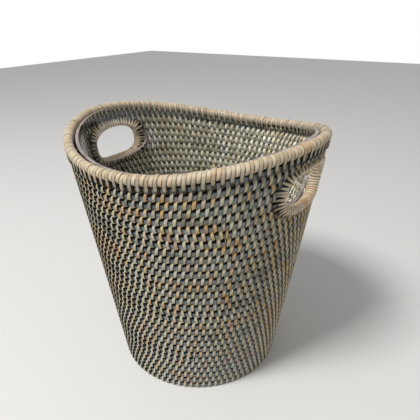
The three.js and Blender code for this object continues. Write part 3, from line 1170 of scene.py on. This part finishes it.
# %% Grain, wash and dark
TINT_STRETCH = (13.0, 13.0, 60.0)
TINT_SHARE = 0.55
TINT_DETAIL = 2.0
DRIFT_STRETCH = (0.0, 45.0, 91.0)
FIBRE_STRETCH = (9.0, 160.0, 37.0)
FIBRE_DETAIL = 4.0
FIBRE_HEIGHT = 0.0003
STREAKS = [(0.38, (0.62, 0.62, 0.62)), (0.62, (1.0, 0.99, 0.97))]
STREAK_SHARE = 0.7
WASH_SCALE = 70.0
WASH_DETAIL = 5.0
WASH_STOPS = (0.42, 0.68)
# Painted light: the colour is mixed paler towards the base.
PAINTED_LIGHT_TOP = 0.13
PAINTED_LIGHT_AT_BASE = 0.4
# Painted shadows along the strips' edges: dark on the right, weaker on the left.
RIGHT_EDGE_SHADOW = (0.26, 0.44)
LEFT_EDGE_SHADOW = (-0.38, -0.5)


def drifting_tint(nodes, links, place):
    """Noise along each strip, moved up and down by a share of noise that lies in bands round the wall."""
    drift = stretched(nodes, links, attribute(nodes, "grain"), DRIFT_STRETCH)
    along = noise(nodes, links, drift, TINT_DETAIL)
    bands = noise(nodes, links, stretched(nodes, links, place, TINT_STRETCH), TINT_DETAIL)
    both = calculate(nodes, links, "MULTIPLY_ADD", bands, TINT_SHARE, along)
    return calculate(nodes, links, "SUBTRACT", both, TINT_SHARE / 2)


def washed_over(nodes, links, place, colour, wash, wash_share):
    """A colour with pale wash on it in patches, and painted light that makes it paler towards the base."""
    thin, thick = WASH_STOPS
    patches = colour_ramp(nodes, [(thin, (0, 0, 0)), (thick, (wash_share,) * 3)])
    links.new(noise(nodes, links, place, WASH_DETAIL, WASH_SCALE), patches.inputs["Fac"])
    patched = mix_colour(nodes, links, patches.outputs["Color"], colour, wash)
    height = parts_of(nodes, links, place)["Z"]
    return mix_colour(nodes, links, growing(nodes, links, height, PAINTED_LIGHT_TOP, 0, PAINTED_LIGHT_AT_BASE), patched, wash)


def edge_shadows(nodes, links, depth, right, left):
    """The depth's painted shade, or the painted shadow along a strip's two edges where that is more."""
    across = parts_of(nodes, links, attribute(nodes, "grain"))["X"]
    for (start, end), dark in ((RIGHT_EDGE_SHADOW, right), (LEFT_EDGE_SHADOW, left)):
        edge = growing(nodes, links, across, start, end, dark, "SMOOTHSTEP")
        depth = calculate(nodes, links, "MAXIMUM", depth, edge)
    return depth


# %% Split cane
def split_cane(name, tones, worn_tones, wash, wash_share, fibre_depth, roughness, gleam, edges=None):
    """Cane with tones that drift along it, fibres, wash and painted light on top, painted shade in its
    depths and painted shadow at its edges.
    """
    material, nodes, links, shader = new_material(name)
    place = nodes.new("ShaderNodeTexCoord").outputs["Object"]
    look = parts_of(nodes, links, attribute(nodes, "look"))
    tint = drifting_tint(nodes, links, place)
    fresh = colour_ramp(nodes, tones)
    worn = colour_ramp(nodes, worn_tones)
    links.new(tint, fresh.inputs["Fac"])
    links.new(tint, worn.inputs["Fac"])
    tone = mix_colour(nodes, links, look["Y"], fresh.outputs["Color"], worn.outputs["Color"])
    grain = stretched(nodes, links, attribute(nodes, "grain"), FIBRE_STRETCH)
    fibres = noise(nodes, links, grain, FIBRE_DETAIL)
    streaks = colour_ramp(nodes, STREAKS)
    links.new(fibres, streaks.inputs["Fac"])
    grained = mix_colour(nodes, links, STREAK_SHARE, tone, streaks.outputs["Color"], "MULTIPLY")
    washed = washed_over(nodes, links, place, grained, wash, wash_share)
    depth = look["X"]
    if edges:
        depth = edge_shadows(nodes, links, depth, *edges)
    links.new(mix_colour(nodes, links, depth, washed, PAINTED_SHADE_COLOUR), shader.inputs["Base Color"])
    shader.inputs["Roughness"].default_value = roughness
    shader.inputs["Specular IOR Level"].default_value = gleam
    bump = nodes.new("ShaderNodeBump")
    bump.inputs["Strength"].default_value = fibre_depth
    bump.inputs["Distance"].default_value = FIBRE_HEIGHT
    links.new(fibres, bump.inputs["Height"])
    links.new(bump.outputs["Normal"], shader.inputs["Normal"])
    return material


# The strips get painted shadow along their edges: dark on the right, weaker on the left.
strip_finish = split_cane(
    "split_cane", STRIP_TONES, INNER_STRIP_TONES, wash=linear(198, 197, 186), wash_share=0.45,
    fibre_depth=0.5, roughness=0.62, gleam=0.2, edges=(0.95, 0.3))
cane_finish = split_cane(
    "round_cane", CANE_TONES, INNER_CANE_TONES, wash=linear(150, 160, 164), wash_share=0.5,
    fibre_depth=0.4, roughness=0.7, gleam=0.1)
binding_finish = split_cane(
    "wound_cane", BINDING_TONES, WORN_AND_SHADED_BINDING_TONES, wash=linear(206, 198, 180), wash_share=0.3,
    fibre_depth=0.35, roughness=0.5, gleam=0.5)
print("rattan finishes:", strip_finish.name, cane_finish.name, binding_finish.name)

# %% [markdown]
# ## Clear acrylic
# Acrylic is clear right through, so the weave shows behind it and only its edges and highlights are seen.
# A shader could bend light as much as acrylic does, but that hides much of the weave behind curved walls. So
# light is bent less here, and a coat gives the gleam. Rays from lamps pass straight through, or the weave
# behind would lie in a shadow that real acrylic doesn't cast.

# %% Acrylic
# The warm tone of the sawn edges is a painted reflection.
SAWN_AND_REFLECTED_TONES = [(0.35, linear(118, 106, 100)), (0.65, linear(158, 146, 140))]
SAWN_SCALE = 90.0
SAWN_DETAIL = 3.0


def sawn_acrylic_with_reflection():
    """The sawn edges of the liner, which are hazy and catch the light, with a warm tone that is a painted
    reflection.
    """
    material, nodes, links, shader = new_material("sawn_acrylic_with_reflection")
    tone = colour_ramp(nodes, SAWN_AND_REFLECTED_TONES)
    place = nodes.new("ShaderNodeTexCoord").outputs["Object"]
    links.new(noise(nodes, links, place, SAWN_DETAIL, SAWN_SCALE), tone.inputs["Fac"])
    links.new(tone.outputs["Color"], shader.inputs["Base Color"])
    shader.inputs["Roughness"].default_value = 0.35
    return material


def clear_acrylic():
    """The liner's clear sheet, which hardly bends what is behind it, gleams, and lets the light through."""
    material, nodes, links, shader = new_material("clear_acrylic")
    shader.inputs["Base Color"].default_value = (0.97, 0.98, 0.98, 1)
    shader.inputs["Roughness"].default_value = 0.03
    shader.inputs["IOR"].default_value = 1.12
    shader.inputs["Transmission Weight"].default_value = 1
    shader.inputs["Coat Weight"].default_value = 0.4
    shader.inputs["Coat Roughness"].default_value = 0.03
    shader.inputs["Coat IOR"].default_value = 1.49
    lamp_rays = nodes.new("ShaderNodeLightPath").outputs["Is Shadow Ray"]
    passing = nodes.new("ShaderNodeBsdfTransparent").outputs["BSDF"]
    choose_shader(nodes, links, lamp_rays, shader.outputs["BSDF"], passing, "Material Output")
    return material


acrylic_finish = clear_acrylic()
acrylic_edge_finish = sawn_acrylic_with_reflection()
print("acrylic finishes:", acrylic_finish.name, acrylic_edge_finish.name)

# %% [markdown]
# ## Dressing the frame
# Each piece gets its finish, the body that it moves with and the solids that it stands for. The liner is a
# body of its own, because it lifts out, and all the rest is basket. The liner's sawn edges could be a piece
# of their own, but a second material on its faces keeps it one closed shell.

# %% Finish and mount the pieces
SAWN_EDGES_ABOVE = 0.15
SAWN_EDGE_LEAN = 0.8


def is_sawn_edge(face):
    """Whether a face of the liner is on its upper edge or in an opening: it faces along the wall there."""
    radial = face.normal.xy.dot(face.center.xy.normalized())
    return face.center.z > SAWN_EDGES_ABOVE and abs(radial) < SAWN_EDGE_LEAN


def finish(piece, material, slot, body, *nodes):
    """Gives a piece its material, body and the solids that it stands for. The slot is not used."""
    piece.data.materials.clear()
    piece.data.materials.append(material)
    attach(piece, body)
    if nodes:
        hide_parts(*nodes)


course_nodes = [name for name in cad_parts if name.startswith("course_")]
finish(canes, cane_finish, "wall_cane", "basket", "base_hoop", *course_nodes)
for piece in strips:
    finish(piece, strip_finish, "wall_cane", "basket")
finish(rim_core, cane_finish, "wall_cane", "basket", "rim_hoop")
finish(rim_wraps, binding_finish, "binding_cane", "basket", "rim_binding")
for side in SIDES:
    finish(handle_cores[side], cane_finish, "wall_cane", "basket", f"handle_loop_{side}")
    finish(handle_wraps[side], binding_finish, "binding_cane", "basket", f"handle_binding_{side}")
finish(base_cane, cane_finish, "base_cane", "basket", "base_coil")
finish(base_weave, strip_finish, "base_cane", "basket")
finish(liner, acrylic_finish, "clear_acrylic", "liner", "liner")
liner.data.materials.append(acrylic_edge_finish)
for face in liner.data.polygons:
    if is_sawn_edge(face):
        face.material_index = 1

# %% [markdown]
# ## Floor and light
# The bucket stands on a plain pale floor in soft light: a lamp high in front and a little to the left, a
# very weak one on the right, and an even sky. A sun would cut hard shadows into the weave, and lamps with a
# wide face don't. The floor keeps the shadow, and the camera, gloss and clear plastic see white behind.

# %% Floor
FLOOR_SIZE = 6


def stage_floor():
    deselect()
    bpy.ops.mesh.primitive_plane_add(size=FLOOR_SIZE)
    floor = bpy.context.object
    floor.name = "floor"
    material, nodes, links, shader = new_material("pale_floor")
    shader.inputs["Base Color"].default_value = (0.82, 0.81, 0.79, 1)
    shader.inputs["Roughness"].default_value = 0.6
    floor.data.materials.append(material)
    print("floor of", FLOOR_SIZE, "m")


stage_floor()


# %% Lamps and world
LAMP_TARGET = Vector((0, 0, 0.14))


def soft_lamp(name, place, size, power):
    """A square lamp at a place, aimed at the basket's middle."""
    deselect()
    bpy.ops.object.light_add(type="AREA", location=place)
    lamp = bpy.context.object
    lamp.name = name
    lamp.data.size = size
    lamp.data.energy = power
    lamp.rotation_euler = (LAMP_TARGET - Vector(place)).to_track_quat("-Z", "Y").to_euler()
    print(name, "of", power, "W")


def soft_sky(strength):
    """An even sky that lights at this strength, and that is white to the camera, gloss and clear plastic."""
    world = bpy.data.worlds.new("soft_sky")
    bpy.context.scene.world = world
    world.use_nodes = True
    nodes = world.node_tree.nodes
    links = world.node_tree.links
    light = nodes["Background"]
    light.inputs["Color"].default_value = (1, 1, 1, 1)
    light.inputs["Strength"].default_value = strength
    seen = nodes.new("ShaderNodeBackground")
    seen.inputs["Color"].default_value = (1, 1, 1, 1)
    paths = nodes.new("ShaderNodeLightPath").outputs
    share = paths["Is Camera Ray"]
    for ray in ("Is Glossy Ray", "Is Transmission Ray"):
        share = calculate(nodes, links, "MAXIMUM", share, paths[ray])
    lights = (light.outputs["Background"], seen.outputs["Background"])
    choose_shader(nodes, links, share, *lights, "World Output")


soft_lamp("key_lamp", (-0.22, -1.0, 1.83), size=0.52, power=32)
soft_lamp("fill_lamp", (0.95, -0.55, 0.55), size=0.7, power=0.2)
soft_sky(strength=0.32)
bpy.context.scene.view_settings.view_transform = "Standard"
